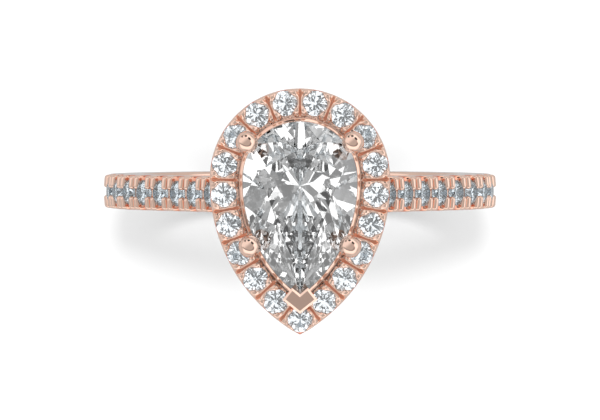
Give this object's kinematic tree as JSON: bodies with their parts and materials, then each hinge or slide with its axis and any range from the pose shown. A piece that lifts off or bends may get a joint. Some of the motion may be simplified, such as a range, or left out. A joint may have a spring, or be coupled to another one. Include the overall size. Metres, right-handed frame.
{
  "type": "engagement ring",
  "caption": "Rose gold finger ring with a pear-cut stone held by claws in a halo of small round stones, on a shank whose upper half is set with a row of small round stones.",
  "frame": {"origin": "centre of the finger hole, in the middle of the shank's width", "axes": "+Y runs along the finger, from the pear's point to its round end; +Z points from the finger to the head; +X runs across the finger"},
  "size_m": [0.0202, 0.0123, 0.0237],
  "materials": {
    "rose_gold": "polished",
    "centre_diamond": "polished",
    "small_diamond": "polished"
  },
  "bodies": {
    "root": {"shank": "rose_gold", "base_rail": "rose_gold", "gallery_rail": "rose_gold", "halo_frame": "rose_gold", "claw_upper_left": "rose_gold", "claw_upper_right": "rose_gold", "claw_lower_left": "rose_gold", "claw_lower_right": "rose_gold", "claw_tip": "rose_gold", "centre_stone": "centre_diamond", "halo_stone_01": "small_diamond", "halo_stone_02": "small_diamond", "halo_stone_03": "small_diamond", "halo_stone_04": "small_diamond", "halo_stone_05": "small_diamond", "halo_stone_06": "small_diamond", "halo_stone_07": "small_diamond", "halo_stone_08": "small_diamond", "halo_stone_09": "small_diamond", "halo_stone_10": "small_diamond", "halo_stone_11": "small_diamond", "halo_stone_12": "small_diamond", "halo_stone_13": "small_diamond", "halo_stone_14": "small_diamond", "halo_stone_15": "small_diamond", "halo_stone_16": "small_diamond", "halo_stone_17": "small_diamond", "halo_stone_18": "small_diamond", "halo_stone_19": "small_diamond", "shank_stone_left_1": "small_diamond", "shank_stone_left_2": "small_diamond", "shank_stone_left_3": "small_diamond", "shank_stone_left_4": "small_diamond", "shank_stone_left_5": "small_diamond", "shank_stone_left_6": "small_diamond", "shank_stone_left_7": "small_diamond", "shank_stone_left_8": "small_diamond", "shank_stone_right_1": "small_diamond", "shank_stone_right_2": "small_diamond", "shank_stone_right_3": "small_diamond", "shank_stone_right_4": "small_diamond", "shank_stone_right_5": "small_diamond", "shank_stone_right_6": "small_diamond", "shank_stone_right_7": "small_diamond", "shank_stone_right_8": "small_diamond"}
  },
  "joints": []
}
